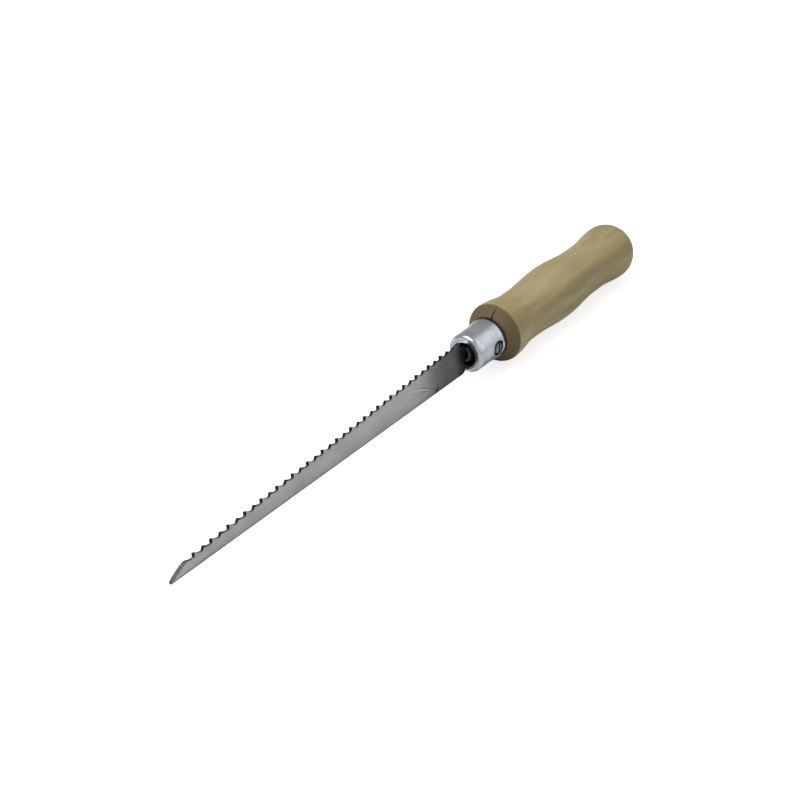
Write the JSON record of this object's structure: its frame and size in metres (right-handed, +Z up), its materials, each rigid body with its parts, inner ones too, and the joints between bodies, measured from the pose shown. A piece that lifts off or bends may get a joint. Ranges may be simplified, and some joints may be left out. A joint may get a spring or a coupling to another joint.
{
  "type": "keyhole saw",
  "caption": "Keyhole saw: tapered toothed steel blade with a plunge point, clamped by a side screw in a ferruled, turned wooden handle.",
  "frame": {"origin": "on the saw's axis, in the middle of the handle's palm swell, where a hand or gripper holds it", "axes": "+X along the saw towards the blade's tip, +Y towards the clamp screw, +Z up towards the teeth"},
  "size_m": [0.31, 0.0286, 0.0286],
  "materials": {
    "wood": "turned pale hardwood, thin clear varnish",
    "plated_steel": "bright zinc plating, softly polished",
    "plain_steel": "plain mill steel",
    "screw_steel": "zinc-plated screw steel",
    "blade_steel": "ground and oiled spring steel"
  },
  "bodies": {
    "grip": {"handle": "wood", "ferrule": "plated_steel", "clamp_nut": "plain_steel", "backing_plate": "plain_steel"},
    "blade": {"blade": "blade_steel"},
    "shoe": {"clamp_shoe": "plain_steel"},
    "screw": {"clamp_screw": "screw_steel"}
  },
  "joints": [
    {"name": "blade_slide", "type": "slide", "parent": "grip", "child": "blade", "axis": [1, 0, 0], "range_m": [0, 0.05]},
    {"name": "shoe_slide", "type": "slide", "parent": "grip", "child": "shoe", "axis": [0, 1, 0], "range_m": [0, 0.0006]},
    {"name": "screw_turn", "type": "hinge", "parent": "shoe", "child": "screw", "pos_m": [0.0584, 0, 0], "axis": [0, 1, 0], "range_deg": [0, 270]}
  ],
  "couplings": [
    {"joint": "screw_turn", "follows": "shoe_slide", "rad_per_m": 7854}
  ]
}
